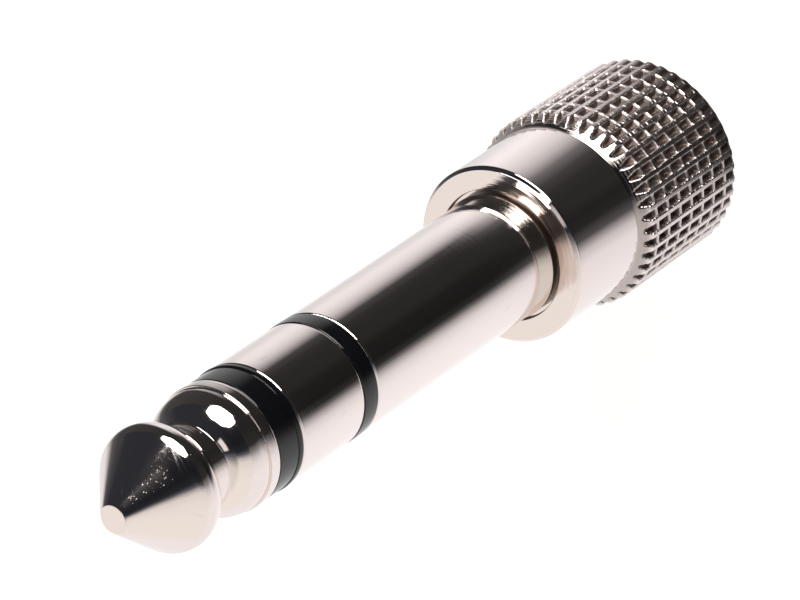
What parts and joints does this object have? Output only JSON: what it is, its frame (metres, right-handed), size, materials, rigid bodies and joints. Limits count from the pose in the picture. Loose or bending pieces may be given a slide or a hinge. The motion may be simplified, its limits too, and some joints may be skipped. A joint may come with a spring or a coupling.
{
  "type": "audio jack adapter",
  "caption": "Nickel-plated 6.35 mm stereo phone plug with a knurled barrel that takes a 3.5 mm stereo plug in its rear end.",
  "frame": {"origin": "centre of the jack end's flat face, on which the adapter stands upright", "axes": "+Z along the turning axis, from the jack end towards the plug's tip; +X through the jack's sleeve spring"},
  "size_m": [0.0102, 0.0102, 0.0448],
  "materials": {
    "nickel": "polished nickel plate on turned brass",
    "black_plastic": "smooth black insulator",
    "terminal_brass": "bare stamped brass",
    "spring_bronze": "phosphor bronze strip",
    "fibre": "brown vulcanised fibre"
  },
  "bodies": {
    "root": {"tip_contact": "nickel", "tip_washer": "black_plastic", "tip_tube": "black_plastic", "ring_contact": "nickel", "ring_washer": "black_plastic", "ring_tube": "black_plastic", "sleeve_contact": "nickel", "stack_washer_ring": "fibre", "ring_terminal": "terminal_brass", "stack_washer_tip": "fibre", "tip_terminal": "terminal_brass", "clinch_washer": "terminal_brass", "barrel_shell": "nickel", "jack_bush": "nickel", "jack_housing": "black_plastic", "jack_cap": "fibre", "tip_spring": "spring_bronze", "ring_spring": "spring_bronze", "sleeve_spring": "spring_bronze", "insulating_liner": "fibre"}
  },
  "joints": []
}
